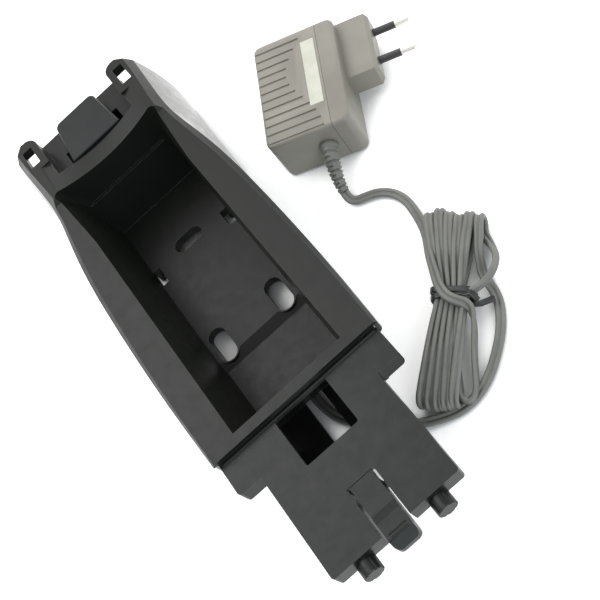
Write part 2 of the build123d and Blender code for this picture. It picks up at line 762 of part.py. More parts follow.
with BuildPart() as adapter_body:
    add(adapter_box(case_far, face_far, side_low, side_high,
                    -case_half_height, case_half_height, 4.0))
    fillet(adapter_body.faces().filter_by(Axis.Z).edges(), 2.2)
    add(adapter_box(case_far + adapter_wall, face_far - adapter_wall,
                    side_low + adapter_wall, side_high - adapter_wall,
                    -case_half_height + adapter_wall, case_half_height - adapter_wall),
        mode=Mode.SUBTRACT)

with BuildPart() as adapter_case:
    add(adapter_body.part)
    add(adapter_box(case_far - 1, case_joint - seam, side_low - 1, side_high + 1,
                    -case_half_height - 1, case_half_height + 1), mode=Mode.INTERSECT)
    # grooves that end along a curve
    for number in range(groove_count):
        v = groove_first - groove_pitch * number
        away = (v - groove_middle) / groove_spread
        end = groove_deepest + groove_sweep * (1 - math.exp(-away**2))
        add(adapter_box(case_far - 1, min(end, case_joint - 3.5), v - 0.7, v + 0.7,
                        case_half_height - 0.6, case_half_height + 1), mode=Mode.SUBTRACT)
    # pocket for the label, and the hole for the relief
    add(adapter_box(*label_u, *label_v, case_half_height - label_depth,
                    case_half_height + 1), mode=Mode.SUBTRACT)
    relief_root = adapter_point(case_joint - 7.5, side_low + adapter_wall + 0.5, 0)
    extrude(disc(relief_root, -adapter_plane.y_dir, 3.2), amount=4, mode=Mode.SUBTRACT)
finish(adapter_case.part, "adapter_case")

with BuildPart() as adapter_cover:
    add(adapter_body.part)
    add(adapter_box(case_joint, face_far + 1, side_low - 1, side_high + 1,
                    -case_half_height - 1, case_half_height + 1), mode=Mode.INTERSECT)
    add(adapter_box(face_far - adapter_wall, plug_near, plug_low, side_high,
                    -plug_half_height, plug_half_height))
    chamfer(adapter_cover.faces().sort_by(pin_axis)[-1].edges(), 1.8)
    for side in (-1, 1):
        root = adapter_point(face_far - adapter_wall - 1, side * pin_spacing / 2, 0)
        extrude(disc(root, towards_pins, 1.5), amount=30, mode=Mode.SUBTRACT)
finish(adapter_cover.part, "adapter_cover")

with BuildPart() as plug_pins:
    for side in (-1, 1):
        root = adapter_point(face_far - adapter_wall - 4, side * pin_spacing / 2, 0)
        extrude(disc(root, towards_pins, 1.5),
                amount=sleeve_length - face_far + adapter_wall + 4)
        step = adapter_point(sleeve_length, side * pin_spacing / 2, 0)
        extrude(disc(step, towards_pins, pin_radius), amount=pin_length - sleeve_length)
    fillet(plug_pins.faces().sort_by(pin_axis)[-2:].edges(), 1.2)
finish(plug_pins.part, "plug_pins")

with BuildPart() as pin_sleeves:
    for side in (-1, 1):
        root = adapter_point(plug_near, side * pin_spacing / 2, 0)
        extrude(disc(root, towards_pins, pin_radius), amount=sleeve_length - plug_near)
        extrude(disc(root, towards_pins, 1.5), amount=sleeve_length - plug_near,
                mode=Mode.SUBTRACT)
finish(pin_sleeves.part, "pin_sleeves")

with BuildPart() as adapter_label:
    add(adapter_box(label_u[0] + 0.1, label_u[1] - 0.1, label_v[0] + 0.1, label_v[1] - 0.1,
                    case_half_height - label_depth, case_half_height + 0.05))
finish(adapter_label.part, "adapter_label")

board_w = -9.0
board_top = board_w + 1.6
core_u = (-58.0, -38.0)
core_v = (-30.0, -6.0)
with BuildPart() as adapter_board:
    add(adapter_box(case_far + adapter_wall + 0.3, case_joint - 3,
                    side_low + adapter_wall + 0.3, side_high - adapter_wall - 0.3,
                    board_w, board_top))
finish(adapter_board.part, "adapter_board")

with BuildPart() as transformer_core:
    add(adapter_box(*core_u, *core_v, board_top, board_top + 17))
    for side in (-1, 1):
        middle = (core_v[0] + core_v[1]) / 2 + side * 6
        add(adapter_box(core_u[0] - 1, core_u[1] + 1, middle - 3.2, middle + 3.2,
                        board_top + 4, board_top + 13), mode=Mode.SUBTRACT)
finish(transformer_core.part, "transformer_core")

with BuildPart() as transformer_winding:
    middle = (core_v[0] + core_v[1]) / 2
    add(adapter_box(core_u[0] - 2.5, core_u[1] + 2.5, middle - 9, middle + 9,
                    board_top + 4.2, board_top + 12.8, 2.0))
    add(adapter_box(core_u[0] - 0.2, core_u[1] + 0.2, middle - 2.9, middle + 2.9,
                    board_top + 3, board_top + 14), mode=Mode.SUBTRACT)
finish(transformer_winding.part, "transformer_winding")

with BuildPart() as adapter_capacitors:
    for u, radius in ((-54.0, 4.5), (-43.0, 4.0), (-34.5, 3.0)):
        with BuildSketch(adapter_plane.offset(board_top)):
            with Locations((u, 5.0)):
                Circle(radius)
        extrude(amount=14)
finish(adapter_capacitors.part, "adapter_capacitors")

with BuildPart() as adapter_wires:
    for side in (-1, 1):
        v = side * pin_spacing / 2
        with BuildLine():
            FilletPolyline(
                adapter_point(face_far - adapter_wall - 4, v, 0),
                adapter_point(case_joint - 6, v, 0),
                adapter_point(case_joint - 6, v, board_top),
                radius=2.5,
            )
        add(disc(adapter_point(face_far - adapter_wall - 4, v, 0), -towards_pins, 0.8))
        sweep()
finish(adapter_wires.part, "adapter_wires")

# ---- the lead: from the adapter into the hank, and from the hank to the gland ----
lead_radius = lead_width / 2
lead_route = [
    (74.9, 25.3, 4.5),
    (74.1, 21.5, 3.15),
    (76.1, 17.9, 2.5),
    (80.7, 16.2, lead_radius),
    (86.6, 13.0, lead_radius),
    (91.5, 7.0, lead_radius),
    (93.6, -0.9, lead_radius),
    (92.66, -9.4, lead_radius),
    (90.75, -18.0, lead_radius),
]
feed_route = [
    (93.4, -60.5, lead_radius),
    (91.6, -73.0, lead_radius),
    (84.0, -84.0, lead_radius),
    (74.0, -92.5, lead_radius),
    (62.0, -100.0, lead_radius),
    (48.0, -102.5, lead_radius),
    (34.0, -97.0, lead_radius),
    (20.0, -87.0, lead_radius),
    (7.0, -72.5, lead_radius),
    (0.0, gland_nose - 12.75, lead_radius),
    (0.0, gland_nose, lead_radius),
]


def corner_radii(route):
    """For each corner, the radius that takes 0.45 of its shorter run."""
    points = [Vector(*point) for point in route]
    radii = []
    for before, here, after in zip(points, points[1:], points[2:]):
        turn = math.radians((here - before).get_angle(after - here))
        shorter = min((here - before).length, (after - here).length)
        radii.append(0.45 * shorter / math.tan(turn / 2))
    return radii


def lead_tube(route, name):
    """A round tube along a route's straight runs and tangent arcs."""
    radii = corner_radii(route)
    with BuildPart() as tube:
        with BuildLine():
            path = FilletPolyline(*route, radius=radii)
        direction = Vector(*route[1]) - Vector(*route[0])
        add(disc(route[0], direction, lead_radius))
        sweep()
    length = path.length
    print(name, "length", round(length, 1), "radii", [round(radius, 1) for radius in radii],
          "volume", round(tube.part.volume), "of", round(math.pi * lead_radius**2 * length))
    finish(tube.part, name)


lead_tube(lead_route, "cord_lead")
lead_tube(feed_route, "cord_feed")

relief_rings = 6
with BuildPart() as cord_relief:
    start = adapter_point(case_joint - 7.5, side_low, 0)
    end = Vector(*lead_route[0])
    end_way = (Vector(*lead_route[1]) - end).normalized()
    with BuildLine() as relief_path:
        Bezier(start, start - adapter_plane.y_dir * 10, end - end_way * 8, end)
    add(disc(start, -adapter_plane.y_dir, 2.65))
    sweep()
    for ring in range(relief_rings):
        share = (ring + 0.08) / relief_rings
        radius = 5.0 - 2.0 * share if ring else 5.6
        way = relief_path.line % share
        extrude(disc(relief_path.line @ share, way, radius), amount=2.7)
    extrude(disc(start + adapter_plane.y_dir * (adapter_wall + 1.2),
                 -adapter_plane.y_dir, 3.1), amount=adapter_wall + 1.5)
finish(cord_relief.part, "cord_relief")

# ---- hank and its tie ------------------------------------------------------------
hank_height = 11.0
hank_outline = [
    (87.6, -17.35), (93.9, -18.75), (99.0, -22.5), (105.0, -28.5), (110.5, -34.5),
    (112.0, -39.5), (107.5, -47.0), (105.0, -54.5), (101.0, -60.0), (96.6, -60.96),
    (90.2, -60.04), (84.0, -65.0), (79.0, -72.5), (72.5, -81.5), (66.0, -89.0),
    (58.0, -95.0), (50.0, -96.5), (43.0, -94.5), (37.0, -90.0), (35.5, -84.5),
    (39.0, -79.0), (53.0, -66.5), (64.5, -59.0), (71.5, -53.0), (77.5, -42.0),
    (83.0, -29.5),
]
waist = (76.8, -59.6)
waist_angle = -39.8
waist_half_width = 9.5
tie_width = 4.0
tie_thickness = 0.9
tie_plane = Plane(
    origin=(waist[0], waist[1], 0),
    x_dir=(math.cos(math.radians(waist_angle)), math.sin(math.radians(waist_angle)), 0),
    z_dir=(0, 0, 1),
)


def tie_box(s0, s1, half_width, z0, z1):
    """A block across the hank's waist."""
    with BuildSketch(tie_plane.offset(z0)) as section:
        with Locations(((s0 + s1) / 2, 0)):
            Rectangle(s1 - s0, 2 * half_width)
    return extrude(section.sketch, amount=z1 - z0, mode=Mode.PRIVATE)


with BuildPart() as cord_hank:
    with BuildSketch():
        Polygon(*hank_outline, align=None)
    extrude(amount=hank_height)
    chamfer(cord_hank.faces().sort_by(Axis.Z)[-1].edges(), 1.5)
    add(tie_box(-30, 30, tie_width / 2 + seam, -1, hank_height + 1), mode=Mode.SUBTRACT)
    add(tie_box(-waist_half_width, waist_half_width, tie_width / 2 + 1, tie_thickness + seam,
                hank_height - tie_thickness - seam))
finish(cord_hank.part, "cord_hank")

with BuildPart() as cord_tie:
    ring_half = waist_half_width + seam + tie_thickness
    add(tie_box(-ring_half, ring_half, tie_width / 2, 0, hank_height))
    add(tie_box(-waist_half_width - seam, waist_half_width + seam, tie_width, tie_thickness,
                hank_height - tie_thickness), mode=Mode.SUBTRACT)
    add(tie_box(ring_half - 0.3, ring_half + 3.2, 1.4, 6.5, 7.4))
finish(cord_tie.part, "cord_tie")
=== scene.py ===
"""Looks of a wall charging dock with its mains adapter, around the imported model.

Lengths in the lists below are millimetres in the model's frame; everything built is in metres.
"""

import json
import math

import bmesh
import bpy
from mathutils import Euler, Matrix, Vector

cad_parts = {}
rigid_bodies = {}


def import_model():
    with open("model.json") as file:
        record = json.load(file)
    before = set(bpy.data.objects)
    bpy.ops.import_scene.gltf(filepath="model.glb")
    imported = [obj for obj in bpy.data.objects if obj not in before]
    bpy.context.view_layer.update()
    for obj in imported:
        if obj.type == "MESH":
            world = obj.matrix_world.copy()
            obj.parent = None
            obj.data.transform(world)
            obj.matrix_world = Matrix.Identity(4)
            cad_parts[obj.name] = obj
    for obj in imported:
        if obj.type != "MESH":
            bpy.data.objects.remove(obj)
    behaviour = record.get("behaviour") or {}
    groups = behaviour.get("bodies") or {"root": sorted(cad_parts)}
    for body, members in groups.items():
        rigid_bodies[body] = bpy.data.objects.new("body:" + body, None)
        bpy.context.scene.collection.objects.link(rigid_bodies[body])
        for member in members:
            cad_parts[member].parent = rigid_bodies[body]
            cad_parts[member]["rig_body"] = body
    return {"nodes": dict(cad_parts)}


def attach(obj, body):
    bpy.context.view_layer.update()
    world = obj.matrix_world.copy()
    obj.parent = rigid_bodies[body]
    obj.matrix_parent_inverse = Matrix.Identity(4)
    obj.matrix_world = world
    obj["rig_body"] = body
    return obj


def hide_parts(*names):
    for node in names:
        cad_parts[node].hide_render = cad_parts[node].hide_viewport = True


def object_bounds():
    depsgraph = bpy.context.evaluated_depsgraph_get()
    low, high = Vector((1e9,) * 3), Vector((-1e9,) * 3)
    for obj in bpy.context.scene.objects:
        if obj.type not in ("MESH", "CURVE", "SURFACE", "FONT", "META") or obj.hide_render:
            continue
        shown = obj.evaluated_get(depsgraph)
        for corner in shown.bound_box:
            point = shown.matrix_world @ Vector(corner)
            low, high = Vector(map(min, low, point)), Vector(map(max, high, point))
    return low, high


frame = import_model()
cad_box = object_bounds()
nodes = frame["nodes"]
MM = 0.001                 # one millimetre, in metres

# moulded edges
EDGE_ANGLE = 32.0          # edges sharper than this, in degrees, are rounded
EDGE_SEGMENTS = 2
FINGER_SLITS = (8.0, -142.0, -114.5)      # half width and y range of the finger's slits
# floor and background
WORLD_LIGHT = 0.6          # strength of the light from all round
WHITE = 1.0                # strength at which the background is white
FLOOR_HALF = 3.0           # metres
FLOOR_DROP = 0.0002        # metres between the model's lowest point and the floor
# the floor's glow is painted light; its lack where something covers the floor is painted shade
FLOOR_GLOW = 0.45          # added where the floor is seen and open
COVER_REACH = 0.02         # metres within which something covers the floor
COVERED, OPEN = 0.4, 0.6   # openness at which the glow is nothing, and full


# ---- helpers ----------------------------------------------------------------------


def metres(point):
    """A point in millimetres as a vector in metres."""
    return Vector(point) * MM


def lerp(a, b, share):
    """The point that lies a share of the way from a to b."""
    return Vector(a) + (Vector(b) - Vector(a)) * share


def link(name, mesh, material):
    """A new object in the scene that shows a mesh in one material."""
    piece = bpy.data.objects.new(name, mesh)
    bpy.context.scene.collection.objects.link(piece)
    mesh.materials.clear()
    mesh.materials.append(material)
    return piece


def smooth(mesh, angle):
    """Smooth shading, with edges kept sharp past an angle."""
    mesh.polygons.foreach_set("use_smooth", [True] * len(mesh.polygons))
    mesh.set_sharp_from_angle(angle=math.radians(angle))


def evaluated(piece):
    """A mesh with a piece's modifiers applied."""
    graph = bpy.context.evaluated_depsgraph_get()
    graph.update()
    return bpy.data.meshes.new_from_object(piece.evaluated_get(graph))


def flatten_normals(mesh):
    """Make the shading of flat faces exactly flat, and leave curved ones smooth.

    A face is curved if it is small, or if a neighbour leans a little away from it.
    """
    small, neighbour_size = 6e-6, 3e-6
    least, most = math.radians(0.8), math.radians(16)
    shape = bmesh.new()
    shape.from_mesh(mesh)
    flat = set()
    for face in shape.faces:
        if face.calc_area() < small:
            continue
        neighbours = [g for edge in face.edges for g in edge.link_faces if g is not face]
        curved = any(
            least < face.normal.angle(g.normal, 0.0) < most
            and g.calc_area() > neighbour_size
            for g in neighbours
        )
        if not curved:
            flat.add(face.index)
    shape.free()
    normals = [corner.vector.copy() for corner in mesh.corner_normals]
    for polygon in mesh.polygons:
        if polygon.index in flat:
            for corner in polygon.loop_indices:
                normals[corner] = polygon.normal.copy()
    mesh.normals_split_custom_set(normals)


def rounded_copy(node, name, material, width, sharp_at=None, edge=None):
    """A copy of a moulded CAD node with its edges rounded, which stands for that node.

    The edges inside the box sharp_at, in millimetres on the floor's plane, stay sharp.
    The rounded edges may have a material of their own; the lighter one given to them here is a
    painted highlight along the edges.
    """
    shape = bmesh.new()
    shape.from_mesh(nodes[node].data)
    bmesh.ops.remove_doubles(shape, verts=shape.verts, dist=2e-6)
    bmesh.ops.dissolve_limit(
        shape, angle_limit=math.radians(0.6), verts=shape.verts, edges=shape.edges
    )
    weight = shape.edges.layers.float.new("bevel_weight_edge")
    for side in shape.edges:
        middle = (side.verts[0].co + side.verts[1].co) / 2
        joined = sharp_at and (abs(middle.x) < sharp_at[0] * MM
                               and sharp_at[1] * MM < middle.y < sharp_at[2] * MM)
        if side.calc_face_angle(0.0) > math.radians(EDGE_ANGLE) and not joined:
            side[weight] = 1.0
    mesh = bpy.data.meshes.new(name)
    shape.to_mesh(mesh)
    shape.free()
    mesh.polygons.foreach_set("use_smooth", [True] * len(mesh.polygons))
    piece = link(name, mesh, material)
    bevel = piece.modifiers.new("rounding", "BEVEL")
    bevel.width = width * MM
    bevel.segments = EDGE_SEGMENTS
    bevel.limit_method = "WEIGHT"
    bevel.use_clamp_overlap = True
    bevel.harden_normals = True
    # the bevel's faces take the edge material, a lighter colour that paints a highlight along the
    # rounded edges
    if edge:
        mesh.materials.append(edge)
        bevel.material = 1
    flat = piece.modifiers.new("flat faces", "WEIGHTED_NORMAL")
    flat.mode = "FACE_AREA_WITH_ANGLE"
    flat.weight = 90
    mesh = evaluated(piece)
    piece.modifiers.clear()
    piece.data = mesh
    flatten_normals(mesh)
    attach(piece, nodes[node]["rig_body"])
    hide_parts(node)
    return piece


# ---- camera, floor and light ----------------------------------------------------------


def add_camera():
    """A camera above the latch end, rolled as a hand-held one is."""
    data = bpy.data.cameras.new("camera")
    data.sensor_width = 36.0
    data.lens = 60.6
    data.clip_start = 0.01
    camera = bpy.data.objects.new("camera", data)
    camera.location = metres((49.8, -277.5, 405.2))
    camera.rotation_euler = Euler([math.radians(turn) for turn in (25.13, 24.26, -35.72)])
    bpy.context.scene.collection.objects.link(camera)
    bpy.context.scene.camera = camera


def add_area_light(name, place, target, size, energy, color=(1, 1, 1)):
    """A square soft light that faces a target."""
    data = bpy.data.lights.new(name, "AREA")
    data.size = size
    data.energy = energy
    data.color = color
    lamp = bpy.data.objects.new(name, data)
    lamp.location = place
    lamp.rotation_euler = (Vector(place) - Vector(target)).to_track_quat("Z", "Y").to_euler()
    bpy.context.scene.collection.objects.link(lamp)


def seen_rays(tree):
    """1 for the rays that show the background: the camera's, and those in gloss and glass."""
    rays = tree.nodes.new("ShaderNodeLightPath")
    total = rays.outputs["Is Camera Ray"]
    for name in ("Is Glossy Ray", "Is Transmission Ray"):
        node = tree.nodes.new("ShaderNodeMath")
        node.operation = "MAXIMUM"
        tree.links.new(total, node.inputs[0])
        tree.links.new(rays.outputs[name], node.inputs[1])
        total = node.outputs["Value"]
    return total


def add_world():
    """Even pale light all round, and white where it is seen."""
    world = bpy.data.worlds.new("room")
    bpy.context.scene.world = world
    world.use_nodes = True
    tree = world.node_tree
    background = tree.nodes["Background"]
    mix = tree.nodes.new("ShaderNodeMix")
    mix.inputs["A"].default_value = WORLD_LIGHT
    mix.inputs["B"].default_value = WHITE
    tree.links.new(seen_rays(tree), mix.inputs["Factor"])
    tree.links.new(mix.outputs["Result"], background.inputs["Strength"])
    background.inputs["Color"].default_value = (1, 1, 1, 1)


def add_floor():
    """A plain pale floor, white where it is seen by a painted glow, which is kept off where
    something covers it from close above, so painted shade lies there.
    """
    mesh = bpy.data.meshes.new("floor")
    signs = ((-1, -1), (1, -1), (1, 1), (-1, 1))
    corners = [(x * FLOOR_HALF, y * FLOOR_HALF, 0) for x, y in signs]
    mesh.from_pydata(corners, [], [(0, 1, 2, 3)])
    material = bpy.data.materials.new("floor")
    material.use_nodes = True
    tree = material.node_tree
    shader = tree.nodes["Principled BSDF"]
    shader.inputs["Roughness"].default_value = 0.9
    shader.inputs["Base Color"].default_value = (0.93, 0.93, 0.92, 1)
    shader.inputs["Specular IOR Level"].default_value = 0.0
    # painted shade: the glow fades where ambient occlusion finds cover within reach
    open_sky = tree.nodes.new("ShaderNodeAmbientOcclusion")
    open_sky.inputs["Distance"].default_value = COVER_REACH
    ramp = tree.nodes.new("ShaderNodeMapRange")
    ramp.inputs["From Min"].default_value = COVERED
    ramp.inputs["From Max"].default_value = OPEN
    ramp.inputs["To Max"].default_value = FLOOR_GLOW
    tree.links.new(open_sky.outputs["AO"], ramp.inputs["Value"])
    glow = tree.nodes.new("ShaderNodeMath")
    glow.operation = "MULTIPLY"
    tree.links.new(ramp.outputs["Result"], glow.inputs[0])
    tree.links.new(seen_rays(tree), glow.inputs[1])
    tree.links.new(glow.outputs["Value"], shader.inputs["Emission Strength"])
    shader.inputs["Emission Color"].default_value = (1, 1, 1, 1)
    floor = link("floor", mesh, material)
    floor.location.z = cad_box[0][2] - FLOOR_DROP


# ---- materials ------------------------------------------------------------------------


class Nodes:
    """Short calls for building one material's node tree."""

    def __init__(self, name):
        self.material = bpy.data.materials.new(name)
        self.material.use_nodes = True
        self.tree = self.material.node_tree
        self.shader = self.tree.nodes["Principled BSDF"]
        self.place = self.add("ShaderNodeTexCoord").outputs["Object"]

    def add(self, kind, **settings):
        node = self.tree.nodes.new(kind)
        for key, value in settings.items():
            setattr(node, key, value)
        return node

    def join(self, source, target):
        self.tree.links.new(source, target)

    def noise(self, scale, detail=3.0, roughness=0.5, place=None):
        node = self.add("ShaderNodeTexNoise")
        node.inputs["Scale"].default_value = scale
        node.inputs["Detail"].default_value = detail
        node.inputs["Roughness"].default_value = roughness
        self.join(place or self.place, node.inputs["Vector"])
        return node.outputs["Fac"]

    def spread(self, value, low, high, to_low, to_high):
        node = self.add("ShaderNodeMapRange")
        self.join(value, node.inputs["Value"])
        for key, number in (
            ("From Min", low),
            ("From Max", high),
            ("To Min", to_low),
            ("To Max", to_high),
        ):
            node.inputs[key].default_value = number
        return node.outputs["Result"]

    def blend(self, share, first, second):
        node = self.add("ShaderNodeMix", data_type="RGBA")
        self.join(share, node.inputs["Factor"])
        for key, value in (("A", first), ("B", second)):
            socket = [s for s in node.inputs if s.name == key and s.type == "RGBA"][0]
            if isinstance(value, tuple):
                socket.default_value = (*value, 1.0)
            else:
                self.join(value, socket)
        return [s for s in node.outputs if s.type == "RGBA"][0]

    def bump(self, height, strength, distance):
        node = self.add("ShaderNodeBump")
        node.inputs["Strength"].default_value = strength
        node.inputs["Distance"].default_value = distance
        self.join(height, node.inputs["Height"])
        return node.outputs["Normal"]

    def set(self, **values):
        for key, value in values.items():
            self.shader.inputs[key.replace("_", " ")].default_value = value


def scaled(color, share):
    """A colour made darker or lighter."""
    return tuple(min(channel * share, 1.0) for channel in color)


def plastic(name, color, roughness=0.45, grain=0.25, wear=0.35, mottling=0.12, specular=0.5):
    """Moulded plastic: spark-eroded grain, soft mottling, faint scuffs, and rubbed edges.

    Wear is for finely meshed shapes only, because it is worked out at the mesh's corners.
    """
    n = Nodes(name)
    broad = n.noise(28.0, 4.0, 0.55)
    fine = n.noise(5200.0, 2.0, 0.6)
    tinted = n.blend(
        n.spread(broad, 0.35, 0.65, 0.0, 1.0),
        scaled(color, 1 - mottling),
        scaled(color, 1 + mottling),
    )
    if wear:
        geometry = n.add("ShaderNodeNewGeometry")
        rubbed = n.spread(geometry.outputs["Pointiness"], 0.53, 0.62, 0.0, wear)
        tinted = n.blend(rubbed, tinted, scaled(color, 2.6))
    n.join(tinted, n.shader.inputs["Base Color"])
    scuffs = n.noise(160.0, 6.0, 0.7)
    n.join(
        n.spread(scuffs, 0.3, 0.7, roughness - 0.06, roughness + 0.08),
        n.shader.inputs["Roughness"],
    )
    n.join(n.bump(fine, grain, 0.00006), n.shader.inputs["Normal"])
    n.set(Specular_IOR_Level=specular)
    return n.material


def cord_rubber(name, color):
    """Soft lead jacket: slight sheen, faint mottling and handling marks."""
    n = Nodes(name)
    broad = n.noise(90.0, 4.0, 0.6)
    fine = n.noise(2600.0, 3.0, 0.6)
    tinted = n.blend(n.spread(broad, 0.3, 0.7, 0.0, 1.0), scaled(color, 0.86), scaled(color, 1.12))
    n.join(tinted, n.shader.inputs["Base Color"])
    n.join(n.spread(broad, 0.3, 0.7, 0.38, 0.52), n.shader.inputs["Roughness"])
    n.join(n.bump(fine, 0.15, 0.00005), n.shader.inputs["Normal"])
    n.set(Specular_IOR_Level=0.45)
    return n.material


def metal(name, color, roughness=0.28):
    """Plated metal: brushed streaks and slightly uneven gloss."""
    n = Nodes(name)
    streaks = n.noise(900.0, 4.0, 0.7)
    n.join(
        n.blend(streaks, scaled(color, 0.85), scaled(color, 1.05)), n.shader.inputs["Base Color"]
    )
    n.join(n.spread(streaks, 0.2, 0.8, roughness - 0.08, roughness + 0.12),
           n.shader.inputs["Roughness"])
    n.join(n.bump(streaks, 0.12, 0.00003), n.shader.inputs["Normal"])
    n.set(Metallic=1.0)
    return n.material


def board_laminate(name):
    """Green board: solder-mask gloss over a faint weave."""
    n = Nodes(name)
    weave = n.add("ShaderNodeTexVoronoi")
    weave.inputs["Scale"].default_value = 700.0
    n.join(n.place, weave.inputs["Vector"])
    n.join(
        n.blend(weave.outputs["Distance"], (0.012, 0.07, 0.03), (0.02, 0.12, 0.05)),
        n.shader.inputs["Base Color"],
    )
    n.join(n.bump(weave.outputs["Distance"], 0.1, 0.00005), n.shader.inputs["Normal"])
    n.join(n.spread(weave.outputs["Distance"], 0.0, 1.0, 0.3, 0.45), n.shader.inputs["Roughness"])
    return n.material


def label_stock(name):
    """Bare silver-white label: a satin film, a little uneven where it was pressed on."""
    n = Nodes(name)
    flow = n.noise(120.0, 5.0, 0.6)
    n.join(
        n.blend(n.spread(flow, 0.3, 0.7, 0.0, 1.0), (0.50, 0.51, 0.42), (0.60, 0.60, 0.52)),
        n.shader.inputs["Base Color"],
    )
    n.join(n.spread(flow, 0.3, 0.7, 0.28, 0.4), n.shader.inputs["Roughness"])
    n.join(n.bump(flow, 0.1, 0.0001), n.shader.inputs["Normal"])
    return n.material


charcoal = plastic("charcoal", (0.009, 0.0102, 0.0085), 0.36, wear=0.0, mottling=0.08,
                   specular=0.22)
# painted sheen: the rear shell's charcoal is lighter than the rest, standing in for the bright
# room its sides reflect
charcoal_shell_painted_sheen = plastic("charcoal_shell_painted_sheen", (0.034, 0.033, 0.029), 0.22, grain=0.05, wear=0.0,
                         mottling=0.02, specular=0.8)
charcoal_tongue = plastic("charcoal_tongue", (0.0085, 0.0102, 0.0088), 0.34, wear=0.0,
                          mottling=0.08, specular=0.22)
# painted highlight: a lighter charcoal for the rounded edges, standing in for the light they catch
charcoal_edge_highlight = plastic("charcoal_edge_highlight", (0.024, 0.026, 0.024), 0.26, grain=0.1, wear=0.0,
                        specular=0.6)
slate = plastic("slate", (0.009, 0.012, 0.0115), 0.33, grain=0.08, wear=0.0, mottling=0.06,
                specular=0.25)
adapter_grey = plastic("adapter_grey", (0.225, 0.212, 0.18), 0.4, grain=0.2, wear=0.1)
relief_grey = cord_rubber("relief_grey", (0.135, 0.14, 0.125))
lead_grey = cord_rubber("lead_grey", (0.158, 0.16, 0.145))
tie_black = plastic("tie_black", (0.012, 0.012, 0.012), 0.35, grain=0.1, wear=0.2)
sleeve_black = plastic("sleeve_black", (0.02, 0.02, 0.02), 0.35, grain=0.1, wear=0.1)
nickel = metal("nickel", (0.72, 0.70, 0.66))
steel = metal("steel", (0.55, 0.55, 0.56), 0.34)
brass = metal("brass", (0.74, 0.55, 0.25), 0.3)
copper = metal("copper", (0.60, 0.28, 0.13), 0.35)
ferrite = plastic("ferrite", (0.05, 0.05, 0.055), 0.5)
can_sleeve = plastic("can_sleeve", (0.02, 0.03, 0.08), 0.3, grain=0.05)
wire_red = cord_rubber("wire_red", (0.30, 0.03, 0.02))
laminate = board_laminate("laminate")
label = label_stock("label")

# ---- the lead's route ------------------------------------------------------------------
LEAD_WIDTH = 4.8
LEAD_THICKNESS = 2.4
GROUND = 2.4               # height of the route's points on the floor
LEAD = [
    (74.9, 25.3, 4.5),
    (74.1, 21.5, 3.15),
    (76.1, 17.9, 2.5),
    (80.7, 16.2, GROUND),
    (86.6, 13.0, GROUND),
    (91.5, 7.0, GROUND),
    (93.6, -0.9, GROUND),
    (92.66, -9.4, GROUND),
    (90.75, -18.0, GROUND),
]
FEED = [
    (93.4, -60.5, GROUND),
    (91.6, -73.0, GROUND),
    (84.0, -84.0, GROUND),
    (74.0, -92.5, GROUND),
    (62.0, -100.0, GROUND),
    (48.0, -102.5, GROUND),
    (34.0, -97.0, GROUND),
    (20.0, -87.0, GROUND),
    (7.0, -72.5, GROUND),
    (0.0, -60.0, GROUND),
    (0.0, -47.25, GROUND),
]
# each route point below carries the section's roll in degrees: 0 lies flat, 90 stands on edge
OVER_THE_EDGE = [
    (87.6, -27.0, 5.5, 25),
    (82.4, -37.4, 10.2, 30),
    (78.2, -47.5, 12.2, 20),
    (75.3, -54.5, 12.9, 10),
    (74.5, -60.3, 13.1, 5),
    (76.0, -65.2, 12.8, 10),
    (78.9, -69.0, 11.0, 40),
]
LOWER_LOOP = [
    (78.4, -73.0, 8.0, 80),
    (73.8, -79.0, 6.0, 90),
    (68.0, -85.0, 5.0, 90),
    (61.3, -93.6, 4.4, 90),
    (56.5, -100.2, 4.2, 90),
    (51.8, -103.0, 4.2, 90),
    (48.9, -99.6, 4.6, 90),
    (52.2, -92.6, 5.4, 88),
    (57.8, -85.0, 7.2, 80),
    (68.0, -74.5, 8.4, 80),
]
SIDE_LOOP = [
    (85.4, -66.0, 9.3, 85),
    (91.0, -66.8, 9.6, 88),
    (98.0, -64.8, 9.0, 88),
    (103.4, -59.6, 7.0, 85),
    (105.4, -52.6, 4.6, 70),
    (106.6, -46.2, 2.6, 40),
]
TOP_ENDS = ((94.3, -22.2), (111.6, -38.4))
WAIST = ((72.8, -56.0), (81.8, -63.8))
BOTTOM_ENDS = ((36.8, -88.0), (50.2, -99.8))
TOP_WAY = Vector((0.655, 0.756, 0))
BOTTOM_WAY = Vector((-0.70, -0.71, 0))
UPPER, LOWER = 10.0, 1.4                  # heights of the hank's two layers
WAIST_UPPER, WAIST_LOWER = 7.8, 2.7       # the same, at the tie
STRANDS = 6
# how far each strand's end reaches past the line of the others
TOP_UNEVEN = (0.0, 1.8, -0.4, -2.4, -1.4, -3.2)
BOTTOM_UNEVEN = (0.0, 1.0, 1.4, 1.2, 0.6, -1.0)


def strand_ends(number):
    """Top end, waist and bottom end of one strand, in the plane of the floor."""
    share = number / (STRANDS - 1)
    top = lerp(TOP_ENDS[0], TOP_ENDS[1], share).to_3d() + TOP_WAY * TOP_UNEVEN[number]
    waist = lerp(WAIST[0], WAIST[1], share).to_3d()
    bottom = lerp(BOTTOM_ENDS[0], BOTTOM_ENDS[1], share).to_3d()
    bottom += BOTTOM_WAY * BOTTOM_UNEVEN[number]
    return top, waist, bottom


def at(point, height, roll):
    """A route point: a place on the floor's plane, a height and a roll."""
    return (point[0], point[1], height, roll)


def half_turn(end, way, rising):
    """Round one end of the hank, between its two layers."""
    reach, shoulder, drop = 3.0, 1.8, 0.6
    points = [
        at(end - way * reach, UPPER, 12),
        at(end + way * shoulder, UPPER - drop, 8),
        at(end + way * reach, (UPPER + LOWER) / 2, 5),
        at(end + way * shoulder, LOWER + drop, 8),
        at(end - way * reach, LOWER, 12),
    ]
    return points[::-1] if rising else points


